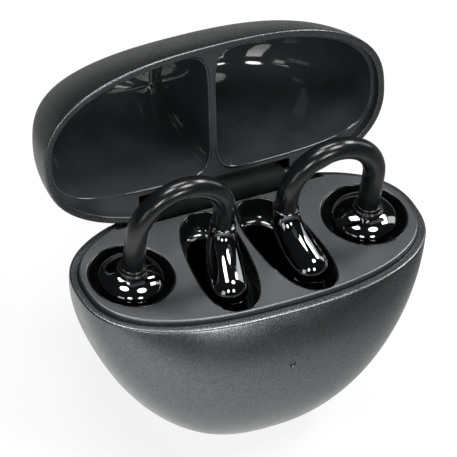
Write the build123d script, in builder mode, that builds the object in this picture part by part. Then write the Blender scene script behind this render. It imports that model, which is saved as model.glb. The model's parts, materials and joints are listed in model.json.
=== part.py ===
"""Ear-clip headphones in a hinged, pebble-shaped charging case, lid open, both buds docked.

Millimetres, +Z up, origin at the centre of the flat foot.  X runs along the case's width and the
hinge, -Y is the front.  Heights of the cradle and the buds are counted from the body's rim.
"""

import os
from math import copysign, cos, pi, radians, sin

from build123d import *

os.makedirs("parts", exist_ok=True)

# ---- case, lower half -------------------------------------------------------------------------
case_half_width = 35.0
rim_half_depth = 17.0
oval_power = 2.46
body_depth = 36.5
body_pole_depth = 38.7
bowl_equator_x = -5.5
bowl_equator_y = 14.9
bowl_power_x = 1.82
bowl_power_y = 2.07
shell_wall = 1.5
foot_wall = 1.8

deck_rise = 1.1
deck_drop = 0.5
deck_inset = 1.6
deck_edge_round = 0.35
tray_plate = 1.1
tray_inset = 1.75
cup_wall = 0.6
ledge_inset = 2.9
ledge_thickness = 1.2
cup_clearance = 0.25
tray_notch_depth = 2.05

ball_cup_radius = 8.0
ball_cup_floor = 4.45
ball_cup_round = 3.0
bean_cup_centre = (6.9, -1.7)
bean_cup_half_width = 5.9
bean_cup_half_length = 13.0
bean_cup_power = 2.5
bean_cup_lean = 0.11
bean_cup_floor = 4.2
bean_cup_round = 1.8

# ---- lid --------------------------------------------------------------------------------------
lid_pole_height = 28.4
lid_equator_x = -7.4
lid_power_x = 2.5
lid_power_y = 1.5
lid_wall = 1.0
lid_gap = 0.3
lid_open_angle = 106.8
liner_recess = 1.5
liner_thickness = 1.0
liner_inset = 1.05
recess_skin = 0.5
recess_wall_total = 2.1
recess_web = 0.8
recess_back = 10.4
recess_corner_power = 7

# ---- hinge ------------------------------------------------------------------------------------
hinge_y = 14.5
hinge_rise = 1.5
barrel_radius = 2.4
barrel_half_length = 13.6
hinge_pin_radius = 0.8
pin_running_gap = 0.05
ear_thickness = 1.5
ear_gap = 0.2
ear_radius = 1.4
trough_clearance = 0.5
swing_clearance = 0.35
rear_edge_radius = 2.3
rear_edge_half_length = 21.5
bracket_thickness = 1.0
bracket_drop = 2.2
bracket_screw_x = 10.5
bracket_screw_radius = 0.6
press_fit_gap = 0.01
screw_hole_clearance = 0.1
screw_head_radius = 1.1
screw_head_height = 0.5
screw_hex_radius = 0.45
screw_hex_depth = 0.3
boss_offset = 0.5
boss_radius = 1.5
boss_length = 5.0
boss_rib_length = 7.0
ear_foot_depth = 1.7
ear_foot_offset = 0.45
screw_pad_depth = 2.3
screw_pad_reach = 1.4
spring_half_length = 3.0
spring_radius = 1.35
spring_wire_radius = 0.2
spring_pitch = 0.9
spring_turns = 5
spring_bore_clearance = 0.15
notch_clearance = 0.2
block_back = 13.9
block_top = 6.0
block_recess_gap = 0.9
block_end_inset = 1.0

# ---- inside the case --------------------------------------------------------------------------
usb_drop = 13.0
usb_width = 8.94
usb_height = 3.26
usb_length = 7.4
usb_metal = 0.3
usb_clearance = 0.2
usb_mouth_inset = 0.75
usb_back_wall = 1.0
tongue_size = (6.7, 4.9, 0.7)
board_thickness = 0.8
board_width = 26.0
board_length = 22.0
board_shift = 3.0
board_corner = 2.0
board_tab_length = 5.5
battery_size = (32.0, 22.0, 8.0)
battery_drop = 1.5
battery_corner = 2.5
battery_edge_round = 1.2
lens_drop = 9.7
lens_radius = 0.55
lens_sink = 0.15
lens_flange_radius = 1.2
lens_flange_thickness = 0.8
magnet_radius = 1.2
magnet_height = 2.4
lid_magnet_radius = 0.9
latch_y = -12.8
dock_magnet_radius = 3.0
dock_magnet_height = 1.5

# ---- contact pins -----------------------------------------------------------------------------
pin_tip_radius = 0.45
pin_collar_radius = 0.75
pin_tip_top = 2.95
pin_collar_top = 5.6
pin_collar_height = 0.6
pin_spacing = 3.0
pin_block_top = 5.05
pin_block_size = (4.0, 6.4, 4.55)
pin_bore_radius = 0.8
pin_bore_floor = 9.0
pin_hole_clearance = 0.15
pin_tip_round = 0.25
pin_block_corner = 0.5
pin_seat_gap = 0.1
pin_spring_pitch = 0.55
pin_spring_radius = 0.5
pin_spring_wire = 0.1
pin_spring_end_gap = 0.2

# ---- ear-clip buds ----------------------------------------------------------------------------
ball_x = 24.0
ball_y = 0.4
ball_rise = 0.5
ball_radius = 6.35
ball_top_height = 2.7
ball_bottom_height = 4.6
ball_wall = 0.8
bridge_radius = 2.1
bridge_wire_radius = 0.6
bridge_arc_radius = 8.9
bridge_arc_rise = 12.0
bridge_middle_x = 15.4
collar_seat_rise = 2.75
collar_radius = 2.9
collar_step_radius = 2.5
collar_step = 0.85
neck_rise = 7.9
neck_radius = 2.65
bulb_radius = 3.65
bulb_x = 8.3
bulb_y = -8.1
bulb_rise = 0.7
bean_bend = (6.5, 0.0, 4.0)
bean_wall = 0.7
mic_slot = (2.1, 0.9)
ball_mic_slot = (3.1, 0.85)
driver_radius = 4.0
driver_height = 2.4
driver_top_rise = 0.9
driver_magnet_share = 0.62
driver_magnet_height = 0.6
mic_mesh_thickness = 0.5
ball_mic_mesh_sink = 0.75
bean_mic_mesh_rise = 2.45
grille_radius = 2.2
grille_rise = 0.3
grille_thickness = 0.35
grille_hole_radius = 0.28
grille_rings = ((1.45, 8), (0.7, 4))
collar_round = 0.3
bean_seam_normal = (0, -0.66, 0.75)
bean_cell_radius = 2.0
bean_cell_length = 3.6
bean_board_size = (2.6, 0.6, 3.0)
pad_radius = 0.85
pad_thickness = 0.6
pad_sink = 0.2
pad_well_radius = 0.9
fit_gap = 0.05

rim_z = body_depth
hinge_z = rim_z + hinge_rise
tray_top_z = rim_z - deck_drop
ball_outer_x = bridge_middle_x + bridge_arc_radius
neck_x = bridge_middle_x - bridge_arc_radius


# ---- outlines ---------------------------------------------------------------------------------
def smooth_face(plane, points):
    """A face inside one smooth closed curve through the points."""
    with BuildSketch(plane) as face:
        with BuildLine():
            Spline(*points, periodic=True)
        make_face()
    return face.sketch


def oval_points(half_x, half_y, power=oval_power, centre=(0, 0), lean=0.0, count=32):
    """Superellipse |x/a|^n + |y/b|^n = 1, sheared by lean, as points round the curve."""
    points = []
    for step in range(count):
        angle = 2 * pi * step / count
        across = half_x * copysign(abs(cos(angle)) ** (2 / power), cos(angle))
        along = half_y * copysign(abs(sin(angle)) ** (2 / power), sin(angle))
        points.append((centre[0] + across - lean * along, centre[1] + along))
    return points


def swell(depth, pole, equator, power):
    """Relative width at a depth: one at the equator, falling to nothing at the pole."""
    reach = abs(depth - equator) / (pole - equator)
    return max(1 - reach**power, 0.0) ** (1 / power)


def bowl_half_sizes(depth, inset=0.0):
    """Half width and half depth of the lower half at a depth below the rim."""
    pole = body_pole_depth - inset
    across = swell(depth, pole, bowl_equator_x, bowl_power_x) / swell(0, pole, bowl_equator_x, bowl_power_x)
    along = swell(depth, pole, bowl_equator_y, bowl_power_y) / swell(0, pole, bowl_equator_y, bowl_power_y)
    return (case_half_width - inset) * across, (rim_half_depth - inset) * along


def lid_half_sizes(height, inset=0.0):
    """Half width and half depth of the lid's dome at a height above its rim."""
    pole = lid_pole_height - inset
    across = swell(height, pole, lid_equator_x, lid_power_x) / swell(0, pole, lid_equator_x, lid_power_x)
    along = swell(height, pole, 0, lid_power_y)
    return (case_half_width - inset) * across, (rim_half_depth - inset) * along


def bowl_sections(inset, last_depth, steps=9):
    """Level ovals from the rim down, closer together where the bowl turns under."""
    sections = []
    for step in range(steps):
        depth = last_depth * sin(pi / 2 * step / (steps - 1))
        half_x, half_y = bowl_half_sizes(depth, inset)
        sections.append(smooth_face(Plane.XY.offset(rim_z - depth), oval_points(half_x, half_y)))
    return sections


# ---- the lid's frame, swung open about the hinge ----------------------------------------------
swing = radians(-lid_open_angle)
rim_from_hinge_y = -hinge_y
rim_from_hinge_z = lid_gap - hinge_rise
lid_origin = (
    0,
    hinge_y + rim_from_hinge_y * cos(swing) - rim_from_hinge_z * sin(swing),
    hinge_z + rim_from_hinge_y * sin(swing) + rim_from_hinge_z * cos(swing),
)
lid_rim = Plane(origin=lid_origin, x_dir=(1, 0, 0), z_dir=(0, -sin(swing), cos(swing)))
hinge_line_height = hinge_rise - lid_gap


def dome_sections(inset, last_share=0.985, steps=9):
    """Ovals from the lid's rim up its dome, on planes of the open lid."""
    sections = []
    for step in range(steps):
        height = (lid_pole_height - inset) * last_share * sin(pi / 2 * step / (steps - 1))
        half_x, half_y = lid_half_sizes(height, inset)
        sections.append(smooth_face(lid_rim.offset(height), oval_points(half_x, half_y)))
    return sections


def recess_points(height, inset, side, grow=0.0, count=36):
    """Outline of one lid recess: the dome's section cut by the web and the back wall.

    Along each ray from the recess's middle the distances to the three walls, each one at its wall,
    are joined as a high-power mean, which rounds the corners between them.
    """
    half_x, half_y = lid_half_sizes(height, inset)
    shrink = half_y / lid_half_sizes(0, inset)[1]
    web = recess_web - grow
    back = recess_back * shrink**0.8 + grow
    middle_x = 0.5 * half_x
    middle_y = -0.12 * half_y
    points = []
    for step in range(count):
        angle = 2 * pi * step / count
        near, far = 0.0, half_x
        for _ in range(40):
            reach = (near + far) / 2
            x = middle_x + reach * cos(angle)
            y = middle_y + reach * sin(angle)
            dome = ((abs(x) / half_x) ** oval_power + (abs(y) / half_y) ** oval_power) ** (1 / oval_power)
            inner = max((middle_x - x) / (middle_x - web), 0)
            rear = max((y - middle_y) / (back - middle_y), 0)
            total = dome**recess_corner_power + inner**recess_corner_power + rear**recess_corner_power
            near, far = (reach, far) if total < 1 else (near, reach)
        points.append((side * (middle_x + near * cos(angle)), middle_y + near * sin(angle)))
    return points


recess_levels = (liner_recess, 7.0, 12.0, 16.0, 19.5, 22.0, 23.8, 24.6)


def recess_sections(inset, side, grow, rise):
    """Recess outlines from the liner's face to the top; rise lifts the last ones."""
    top = recess_levels[-1]
    sections = []
    for level in recess_levels:
        height = level + rise * (level - liner_recess) / (top - liner_recess)
        sections.append(smooth_face(lid_rim.offset(height), recess_points(level, inset, side, grow)))
    return sections


def bean_cup_outline(side, grow=0.0):
    """Outline of a bean cup: a slightly leaning long oval."""
    centre = (bean_cup_centre[0], bean_cup_centre[1])
    points = oval_points(
        bean_cup_half_width + grow, bean_cup_half_length + grow, bean_cup_power, centre, bean_cup_lean
    )
    return [(side * x, y) for x, y in points]


sides = (("left", -1), ("right", 1))

# ---- lower half: shell ------------------------------------------------------------------------
with BuildPart() as lid_sweep:
    loft(sections=dome_sections(-swing_clearance))

with BuildPart() as hinge_clearance:
    with BuildSketch(Plane.YZ.offset(-barrel_half_length - ear_thickness - ear_gap - trough_clearance)):
        with Locations((hinge_y, hinge_z)):
            Circle(barrel_radius + trough_clearance)
    extrude(amount=2 * (barrel_half_length + ear_thickness + ear_gap + trough_clearance))
    with BuildSketch(Plane.YZ.offset(-rear_edge_half_length)):
        with Locations((hinge_y, hinge_z)):
            Circle(rear_edge_radius)
    extrude(amount=2 * rear_edge_half_length)

bracket_bottom_z = rim_z - bracket_drop - bracket_thickness
boss_y = hinge_y - boss_offset
trough_half_length = barrel_half_length + ear_gap + ear_thickness + trough_clearance

with BuildPart() as case_cavity:
    loft(sections=bowl_sections(shell_wall, body_depth - foot_wall))
    ledge_top_z = tray_top_z - tray_plate - fit_gap
    with BuildSketch(Plane.XY.offset(ledge_top_z)):
        Rectangle(4 * case_half_width, 4 * rim_half_depth)
        ledge_x = case_half_width - ledge_inset
        ledge_y = rim_half_depth - ledge_inset
        add(smooth_face(Plane.XY, oval_points(ledge_x, ledge_y)), mode=Mode.SUBTRACT)
    extrude(amount=-ledge_thickness, mode=Mode.SUBTRACT)
    for side_name, side in sides:
        with BuildSketch(Plane.XY.offset(rim_z)):
            with Locations((side * ball_x, ball_y)):
                Circle(ball_cup_radius + cup_wall + cup_clearance)
        extrude(amount=-ball_cup_floor)
        add(
            extrude(
                smooth_face(Plane.XY.offset(rim_z), bean_cup_outline(side, cup_wall + cup_clearance)),
                amount=-bean_cup_floor,
                mode=Mode.PRIVATE,
            )
        )
    with BuildSketch(Plane.XY.offset(rim_z)):
        with Locations((0, hinge_y)):
            Rectangle(2 * trough_half_length, 2 * (hinge_y - boss_y) + 3.0)
    extrude(amount=-(rim_z - bracket_bottom_z))
    for side_name, side in sides:
        with BuildSketch(Plane.XY.offset(bracket_bottom_z - fit_gap)):
            with Locations((side * bracket_screw_x, boss_y)):
                Circle(boss_radius)
            with Locations((side * bracket_screw_x, boss_y + boss_rib_length / 2)):
                Rectangle(2 * boss_radius, boss_rib_length)
        extrude(amount=-boss_length, mode=Mode.SUBTRACT)

usb_z = rim_z - usb_drop
usb_mouth_y = bowl_half_sizes(usb_drop)[1] - usb_mouth_inset
usb_plane = Plane(origin=(0, usb_mouth_y, usb_z), x_dir=(1, 0, 0), z_dir=(0, 1, 0))
lens_z = rim_z - lens_drop
lens_face_y = -bowl_half_sizes(lens_drop)[1]
lens_plane = Plane(origin=(0, lens_face_y, lens_z), x_dir=(1, 0, 0), z_dir=(0, -1, 0))

with BuildPart() as case_shell:
    loft(sections=bowl_sections(0, body_depth))
    add(case_cavity.part, mode=Mode.SUBTRACT)
    add(lid_sweep.part, mode=Mode.SUBTRACT)
    add(hinge_clearance.part, mode=Mode.SUBTRACT)
    with BuildSketch(usb_plane.offset(-usb_length)):
        SlotOverall(usb_width + 2 * usb_clearance, usb_height + 2 * usb_clearance)
    extrude(amount=2 * usb_length, mode=Mode.SUBTRACT)
    with BuildSketch(lens_plane.offset(1)):
        Circle(lens_radius + fit_gap)
    extrude(amount=-2 * shell_wall - 1, mode=Mode.SUBTRACT)
    for side_name, side in sides:
        with BuildSketch(Plane.XY.offset(bracket_bottom_z)):
            with Locations((side * bracket_screw_x, boss_y)):
                Circle(bracket_screw_radius + press_fit_gap)
        extrude(amount=-boss_length + 1, mode=Mode.SUBTRACT)
case_shell.part.label = "case_shell"
export_step(case_shell.part, "parts/case_shell.step")

# ---- lower half: cradle -----------------------------------------------------------------------
with BuildPart() as cradle_deck:
    deck_x = case_half_width - deck_inset
    deck_y = rim_half_depth - deck_inset
    add(
        extrude(
            smooth_face(Plane.XY.offset(tray_top_z), oval_points(deck_x, deck_y)),
            amount=deck_rise + deck_drop,
            mode=Mode.PRIVATE,
        )
    )
    for side_name, side in sides:
        with BuildSketch(Plane.XY.offset(tray_top_z)):
            with Locations((side * ball_x, ball_y)):
                Circle(ball_cup_radius)
        extrude(amount=deck_rise + deck_drop, mode=Mode.SUBTRACT)
        add(
            extrude(
                smooth_face(Plane.XY.offset(tray_top_z), bean_cup_outline(side)),
                amount=deck_rise + deck_drop,
                mode=Mode.PRIVATE,
            ),
            mode=Mode.SUBTRACT,
        )
    top_edges = cradle_deck.faces().sort_by(Axis.Z)[-1].edges()
    rounded_edges = top_edges.filter_by(GeomType.CIRCLE) + top_edges.sort_by(SortBy.LENGTH)[-1:]
    fillet(rounded_edges, radius=deck_edge_round)
    add(lid_sweep.part, mode=Mode.SUBTRACT)
    add(hinge_clearance.part, mode=Mode.SUBTRACT)
cradle_deck.part.label = "cradle_deck"
export_step(cradle_deck.part, "parts/cradle_deck.step")

def ball_cup_solid(side, grow):
    """Solid filling a ball cup, grown all round, from the tray's top down."""
    with BuildPart() as cup:
        with BuildSketch(Plane.XY.offset(tray_top_z)):
            with Locations((side * ball_x, ball_y)):
                Circle(ball_cup_radius + grow)
        extrude(amount=-(ball_cup_floor + grow - deck_drop))
        fillet(cup.faces().sort_by(Axis.Z)[0].edges(), radius=ball_cup_round + grow)
    return cup.part


def bean_cup_solid(side, grow):
    """Solid filling a bean cup, grown all round, from the tray's top down."""
    outline = smooth_face(Plane.XY.offset(tray_top_z), bean_cup_outline(side, grow))
    with BuildPart() as cup:
        add(extrude(outline, amount=-(bean_cup_floor + grow - deck_drop), mode=Mode.PRIVATE))
        fillet(cup.faces().sort_by(Axis.Z)[0].edges(), radius=bean_cup_round + grow)
    return cup.part


cup_walls = []
cup_hollows = []
for side_name, side in sides:
    cup_walls += [ball_cup_solid(side, cup_wall), bean_cup_solid(side, cup_wall)]
    cup_hollows += [ball_cup_solid(side, 0), bean_cup_solid(side, 0)]

with BuildPart() as cradle_tray:
    tray_x = case_half_width - tray_inset
    tray_y = rim_half_depth - tray_inset
    add(
        extrude(
            smooth_face(Plane.XY.offset(tray_top_z), oval_points(tray_x, tray_y)),
            amount=-tray_plate,
            mode=Mode.PRIVATE,
        )
    )
    add(cup_walls)
    add(cup_hollows, mode=Mode.SUBTRACT)
    for side_name, side in sides:
        with BuildSketch(Plane.XY.offset(tray_top_z)):
            with Locations((side * bulb_x, bulb_y)):
                with GridLocations(0, pin_spacing, 1, 2):
                    Circle(pin_tip_radius + pin_hole_clearance)
        extrude(amount=-2 * bean_cup_floor, mode=Mode.SUBTRACT)
    add(hinge_clearance.part, mode=Mode.SUBTRACT)
    with BuildSketch(Plane.XY.offset(rim_z)):
        with Locations((0, hinge_y - tray_notch_depth)):
            Rectangle(2 * trough_half_length, rim_half_depth, align=(Align.CENTER, Align.MIN))
    extrude(amount=-2 * tray_plate, mode=Mode.SUBTRACT)
cradle_tray.part.label = "cradle_tray"
export_step(cradle_tray.part, "parts/cradle_tray.step")

# ---- hinge ------------------------------------------------------------------------------------
ear_inner_x = barrel_half_length + ear_gap

with BuildPart() as hinge_bracket:
    with BuildSketch(Plane.XY.offset(bracket_bottom_z)):
        with Locations((0, hinge_y - ear_foot_offset)):
            Rectangle(2 * (ear_inner_x + ear_thickness), ear_foot_depth)
        with Locations((0, boss_y)):
            Rectangle(2 * (bracket_screw_x + screw_pad_reach), screw_pad_depth)
    extrude(amount=bracket_thickness)
    for side_name, side in sides:
        with BuildSketch(Plane.YZ.offset(side * (ear_inner_x + ear_thickness / 2))):
            with Locations((hinge_y, hinge_z)):
                Circle(ear_radius)
            with Locations((hinge_y - ear_foot_offset, bracket_bottom_z)):
                Rectangle(ear_foot_depth, hinge_z - bracket_bottom_z, align=(Align.CENTER, Align.MIN))
        extrude(amount=ear_thickness / 2, both=True)
    with BuildSketch(Plane.YZ.offset(-2 * barrel_half_length)):
        with Locations((hinge_y, hinge_z)):
            Circle(hinge_pin_radius + press_fit_gap)
    extrude(amount=4 * barrel_half_length, mode=Mode.SUBTRACT)
    with BuildSketch(Plane.XY.offset(bracket_bottom_z)):
        with Locations((-bracket_screw_x, boss_y), (bracket_screw_x, boss_y)):
            Circle(bracket_screw_radius + screw_hole_clearance)
    extrude(amount=bracket_thickness, mode=Mode.SUBTRACT)
hinge_bracket.part.label = "hinge_bracket"
export_step(hinge_bracket.part, "parts/hinge_bracket.step")

with BuildPart() as hinge_pin:
    with BuildSketch(Plane.YZ.offset(-ear_inner_x - ear_thickness)):
        with Locations((hinge_y, hinge_z)):
            Circle(hinge_pin_radius)
    extrude(amount=2 * (ear_inner_x + ear_thickness))
hinge_pin.part.label = "hinge_pin"
export_step(hinge_pin.part, "parts/hinge_pin.step")

with BuildPart() as hinge_spring:
    coil_length = spring_pitch * spring_turns
    with BuildLine():
        coil = Helix(
            pitch=spring_pitch,
            height=coil_length,
            radius=spring_radius,
            center=(-coil_length / 2, hinge_y, hinge_z),
            direction=(1, 0, 0),
        )
    with BuildSketch(Plane(origin=coil @ 0, z_dir=coil % 0)):
        Circle(spring_wire_radius)
    sweep(is_frenet=True)
hinge_spring.part.label = "hinge_spring"
export_step(hinge_spring.part, "parts/hinge_spring.step")

with BuildPart() as bracket_screws:
    head_z = rim_z - bracket_drop
    with BuildSketch(Plane.XY.offset(head_z)):
        with Locations((-bracket_screw_x, boss_y), (bracket_screw_x, boss_y)):
            Circle(screw_head_radius)
    extrude(amount=screw_head_height)
    with BuildSketch(Plane.XY.offset(head_z)):
        with Locations((-bracket_screw_x, boss_y), (bracket_screw_x, boss_y)):
            Circle(bracket_screw_radius)
    extrude(amount=-bracket_thickness - boss_length + 2)
    with BuildSketch(Plane.XY.offset(head_z + screw_head_height)):
        with Locations((-bracket_screw_x, boss_y), (bracket_screw_x, boss_y)):
            RegularPolygon(screw_hex_radius, 6)
    extrude(amount=-screw_hex_depth, mode=Mode.SUBTRACT)
bracket_screws.part.label = "bracket_screws"
export_step(bracket_screws.part, "parts/bracket_screws.step")

# ---- lid --------------------------------------------------------------------------------------
notch_radius = barrel_radius + notch_clearance
notch_half_length = trough_half_length - notch_clearance

with BuildPart() as lid_shell:
    loft(sections=dome_sections(0))
    add(loft(sections=dome_sections(lid_wall), mode=Mode.PRIVATE), mode=Mode.SUBTRACT)
    with BuildSketch(Plane.YZ.offset(-notch_half_length)):
        with Locations((hinge_y, hinge_z)):
            Circle(notch_radius)
    extrude(amount=2 * notch_half_length, mode=Mode.SUBTRACT)
    with BuildSketch(lid_rim):
        with Locations((0, hinge_y - notch_radius)):
            Rectangle(2 * notch_half_length, rim_half_depth, align=(Align.CENTER, Align.MIN))
    extrude(amount=hinge_line_height, mode=Mode.SUBTRACT)
lid_shell.part.label = "lid_shell"
export_step(lid_shell.part, "parts/lid_shell.step")

block_front = recess_back + block_recess_gap

with BuildPart() as lid_liner:
    liner_x, liner_y = lid_half_sizes(liner_recess + liner_thickness, liner_inset)
    add(
        extrude(
            smooth_face(lid_rim.offset(liner_recess), oval_points(liner_x, liner_y)),
            amount=liner_thickness,
            mode=Mode.PRIVATE,
        )
    )
    for side_name, side in sides:
        opening = smooth_face(
            lid_rim.offset(liner_recess),
            recess_points(liner_recess, recess_wall_total - recess_skin, side, recess_skin),
        )
        add(extrude(opening, amount=liner_thickness, mode=Mode.PRIVATE), mode=Mode.SUBTRACT)
    with BuildSketch(lid_rim):
        with Locations((0, block_front - 0.1)):
            Rectangle(2 * notch_half_length, rim_half_depth, align=(Align.CENTER, Align.MIN))
    extrude(amount=liner_recess + liner_thickness, mode=Mode.SUBTRACT)
lid_liner.part.label = "lid_liner"
export_step(lid_liner.part, "parts/lid_liner.step")

with BuildPart() as lid_hinge_block:
    with BuildSketch(Plane.YZ.offset(-barrel_half_length)):
        with Locations((hinge_y, hinge_z)):
            Circle(barrel_radius)
    extrude(amount=2 * barrel_half_length)
    with BuildSketch(lid_rim.offset(hinge_line_height)):
        with Locations((0, (block_front + block_back) / 2)):
            Rectangle(2 * (barrel_half_length - block_end_inset), block_back - block_front)
    extrude(amount=block_top - hinge_line_height)
    with BuildSketch(Plane.YZ.offset(-barrel_half_length)):
        with Locations((hinge_y, hinge_z)):
            Circle(hinge_pin_radius + pin_running_gap)
    extrude(amount=2 * barrel_half_length, mode=Mode.SUBTRACT)
    with BuildSketch(Plane.YZ.offset(-spring_half_length)):
        with Locations((hinge_y, hinge_z)):
            Circle(spring_radius + spring_wire_radius + spring_bore_clearance)
    extrude(amount=2 * spring_half_length, mode=Mode.SUBTRACT)
lid_hinge_block.part.label = "lid_hinge_block"
export_step(lid_hinge_block.part, "parts/lid_hinge_block.step")

for side_name, side in sides:
    with BuildPart() as lid_recess:
        outer_inset = recess_wall_total - recess_skin + fit_gap
        loft(sections=recess_sections(outer_inset, side, recess_skin - fit_gap, recess_skin))
        hollow = loft(sections=recess_sections(recess_wall_total, side, 0, 0), mode=Mode.PRIVATE)
        add(hollow, mode=Mode.SUBTRACT)
    lid_recess.part.label = f"{side_name}_lid_recess"
    export_step(lid_recess.part, f"parts/{side_name}_lid_recess.step")

with BuildPart() as lid_magnet:
    with BuildSketch(lid_rim.offset(liner_recess + liner_thickness + fit_gap)):
        with Locations((0, latch_y)):
            Circle(lid_magnet_radius)
    extrude(amount=magnet_height)
lid_magnet.part.label = "lid_magnet"
export_step(lid_magnet.part, "parts/lid_magnet.step")

# ---- inside the lower half --------------------------------------------------------------------
with BuildPart() as latch_magnet:
    with BuildSketch(Plane.XY.offset(tray_top_z - tray_plate - fit_gap)):
        with Locations((0, latch_y)):
            Circle(magnet_radius)
    extrude(amount=-magnet_height)
latch_magnet.part.label = "latch_magnet"
export_step(latch_magnet.part, "parts/latch_magnet.step")

with BuildPart() as dock_magnets:
    with BuildSketch(Plane.XY.offset(rim_z - ball_cup_floor - cup_wall - fit_gap)):
        with Locations((-ball_x, ball_y), (ball_x, ball_y)):
            Circle(dock_magnet_radius)
    extrude(amount=-dock_magnet_height)
dock_magnets.part.label = "dock_magnets"
export_step(dock_magnets.part, "parts/dock_magnets.step")

with BuildPart() as usb_socket:
    with BuildSketch(usb_plane):
        SlotOverall(usb_width, usb_height)
    extrude(amount=-usb_length)
    with BuildSketch(usb_plane):
        SlotOverall(usb_width - 2 * usb_metal, usb_height - 2 * usb_metal)
    extrude(amount=-usb_length + usb_back_wall, mode=Mode.SUBTRACT)
usb_socket.part.label = "usb_socket"
export_step(usb_socket.part, "parts/usb_socket.step")

with BuildPart() as usb_tongue:
    with BuildSketch(usb_plane.offset(-usb_length + usb_back_wall + fit_gap)):
        Rectangle(tongue_size[0], tongue_size[2])
    extrude(amount=tongue_size[1])
usb_tongue.part.label = "usb_tongue"
export_step(usb_tongue.part, "parts/usb_tongue.step")

board_top_z = usb_z - usb_height / 2 - fit_gap

with BuildPart() as main_board:
    with BuildSketch(Plane.XY.offset(board_top_z)):
        with Locations((0, board_shift)):
            RectangleRounded(board_width, board_length, board_corner)
        with Locations((0, board_shift + board_length / 2 - 1)):
            Rectangle(usb_width + 1, board_tab_length, align=(Align.CENTER, Align.MIN))
    extrude(amount=-board_thickness)
main_board.part.label = "main_board"
export_step(main_board.part, "parts/main_board.step")

with BuildPart() as case_battery:
    with BuildSketch(Plane.XY.offset(board_top_z - board_thickness - battery_drop)):
        RectangleRounded(battery_size[0], battery_size[1], battery_corner)
    extrude(amount=-battery_size[2])
    fillet(case_battery.faces().filter_by(Axis.Z).edges(), radius=battery_edge_round)
case_battery.part.label = "case_battery"
export_step(case_battery.part, "parts/case_battery.step")

with BuildPart() as indicator_lens:
    with BuildSketch(lens_plane.offset(-lens_sink)):
        Circle(lens_radius)
    extrude(amount=-shell_wall - 0.6)
    with BuildSketch(lens_plane.offset(-shell_wall - 0.6 - lens_sink)):
        Circle(lens_flange_radius)
    extrude(amount=-lens_flange_thickness)
indicator_lens.part.label = "indicator_lens"
export_step(indicator_lens.part, "parts/indicator_lens.step")

# ---- charging contacts ------------------------------------------------------------------------
for side_name, side in sides:
    block_top_z = rim_z - pin_block_top
    with BuildPart() as pin_block:
        with BuildSketch(Plane.XY.offset(block_top_z)):
            with Locations((side * bulb_x, bulb_y)):
                RectangleRounded(pin_block_size[0], pin_block_size[1], pin_block_corner)
        extrude(amount=-pin_block_size[2])
        with BuildSketch(Plane.XY.offset(block_top_z)):
            with Locations((side * bulb_x, bulb_y)):
                with GridLocations(0, pin_spacing, 1, 2):
                    Circle(pin_tip_radius + pin_running_gap)
        extrude(amount=-pin_block_size[2] / 2, mode=Mode.SUBTRACT)
        with BuildSketch(Plane.XY.offset(rim_z - pin_collar_top + pin_seat_gap)):
            with Locations((side * bulb_x, bulb_y)):
                with GridLocations(0, pin_spacing, 1, 2):
                    Circle(pin_bore_radius)
        extrude(amount=-(pin_bore_floor - pin_collar_top + pin_seat_gap), mode=Mode.SUBTRACT)
    pin_block.part.label = f"{side_name}_pin_block"
    export_step(pin_block.part, f"parts/{side_name}_pin_block.step")

    for row_name, row in (("front", -1), ("rear", 1)):
        pin_x = side * bulb_x
        pin_y = bulb_y + row * pin_spacing / 2
        with BuildPart() as contact_pin:
            with BuildSketch(Plane.XY.offset(rim_z - pin_tip_top)):
                with Locations((pin_x, pin_y)):
                    Circle(pin_tip_radius)
            extrude(amount=-(pin_collar_top - pin_tip_top))
            fillet(contact_pin.faces().sort_by(Axis.Z)[-1].edges(), radius=pin_tip_round)
            with BuildSketch(Plane.XY.offset(rim_z - pin_collar_top)):
                with Locations((pin_x, pin_y)):
                    Circle(pin_collar_radius)
            extrude(amount=-pin_collar_height)
        contact_pin.part.label = f"{side_name}_{row_name}_pin"
        export_step(contact_pin.part, f"parts/{side_name}_{row_name}_pin.step")

        spring_room = pin_bore_floor - pin_collar_top - pin_collar_height
        with BuildPart() as pin_spring:
            with BuildLine():
                turns = Helix(
                    pitch=pin_spring_pitch,
                    height=spring_room - 2 * pin_spring_end_gap,
                    radius=pin_spring_radius,
                    center=(pin_x, pin_y, rim_z - pin_bore_floor + pin_spring_end_gap),
                )
            with BuildSketch(Plane(origin=turns @ 0, z_dir=turns % 0)):
                Circle(pin_spring_wire)
            sweep(is_frenet=True)
        pin_spring.part.label = f"{side_name}_{row_name}_pin_spring"
        export_step(pin_spring.part, f"parts/{side_name}_{row_name}_pin_spring.step")


# ---- ear-clip buds ----------------------------------------------------------------------------
def bean_spine(share, side):
    """Point and direction along the bean's curved middle line, neck (0) to bulb (1)."""
    neck = Vector(side * neck_x, 0, neck_rise)
    bend = Vector(side * bean_bend[0], bean_bend[1], bean_bend[2])
    bulb = Vector(side * bulb_x, bulb_y, bulb_rise)
    point = neck * (1 - share) ** 2 + bend * (2 * share * (1 - share)) + bulb * share**2
    direction = (bend - neck) * (2 * (1 - share)) + (bulb - bend) * (2 * share)
    return point + Vector(0, 0, rim_z), direction.normalized()


def bean_sections(side, inset, first_share):
    """Round sections along the spine, then round the end of the bulb."""
    sections = []
    for step in range(7):
        share = first_share + (1 - first_share) * step / 6
        point, direction = bean_spine(share, side)
        radius = neck_radius + (bulb_radius - neck_radius) * share**2 * (3 - 2 * share) - inset
        sections.append((point, direction, radius))
    end, direction = bean_spine(1, side)
    for angle in (30, 54, 72, 84):
        radius = (bulb_radius - inset) * cos(radians(angle))
        sections.append((end + direction * ((bulb_radius - inset) * sin(radians(angle))), direction, radius))
    faces = []
    for point, direction, radius in sections:
        with BuildSketch(Plane(origin=point, x_dir=(1, 0, 0), z_dir=direction)) as section:
            Circle(radius)
        faces.append(section.sketch)
    return faces


bridge_foot_rise = collar_seat_rise + fit_gap

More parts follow.
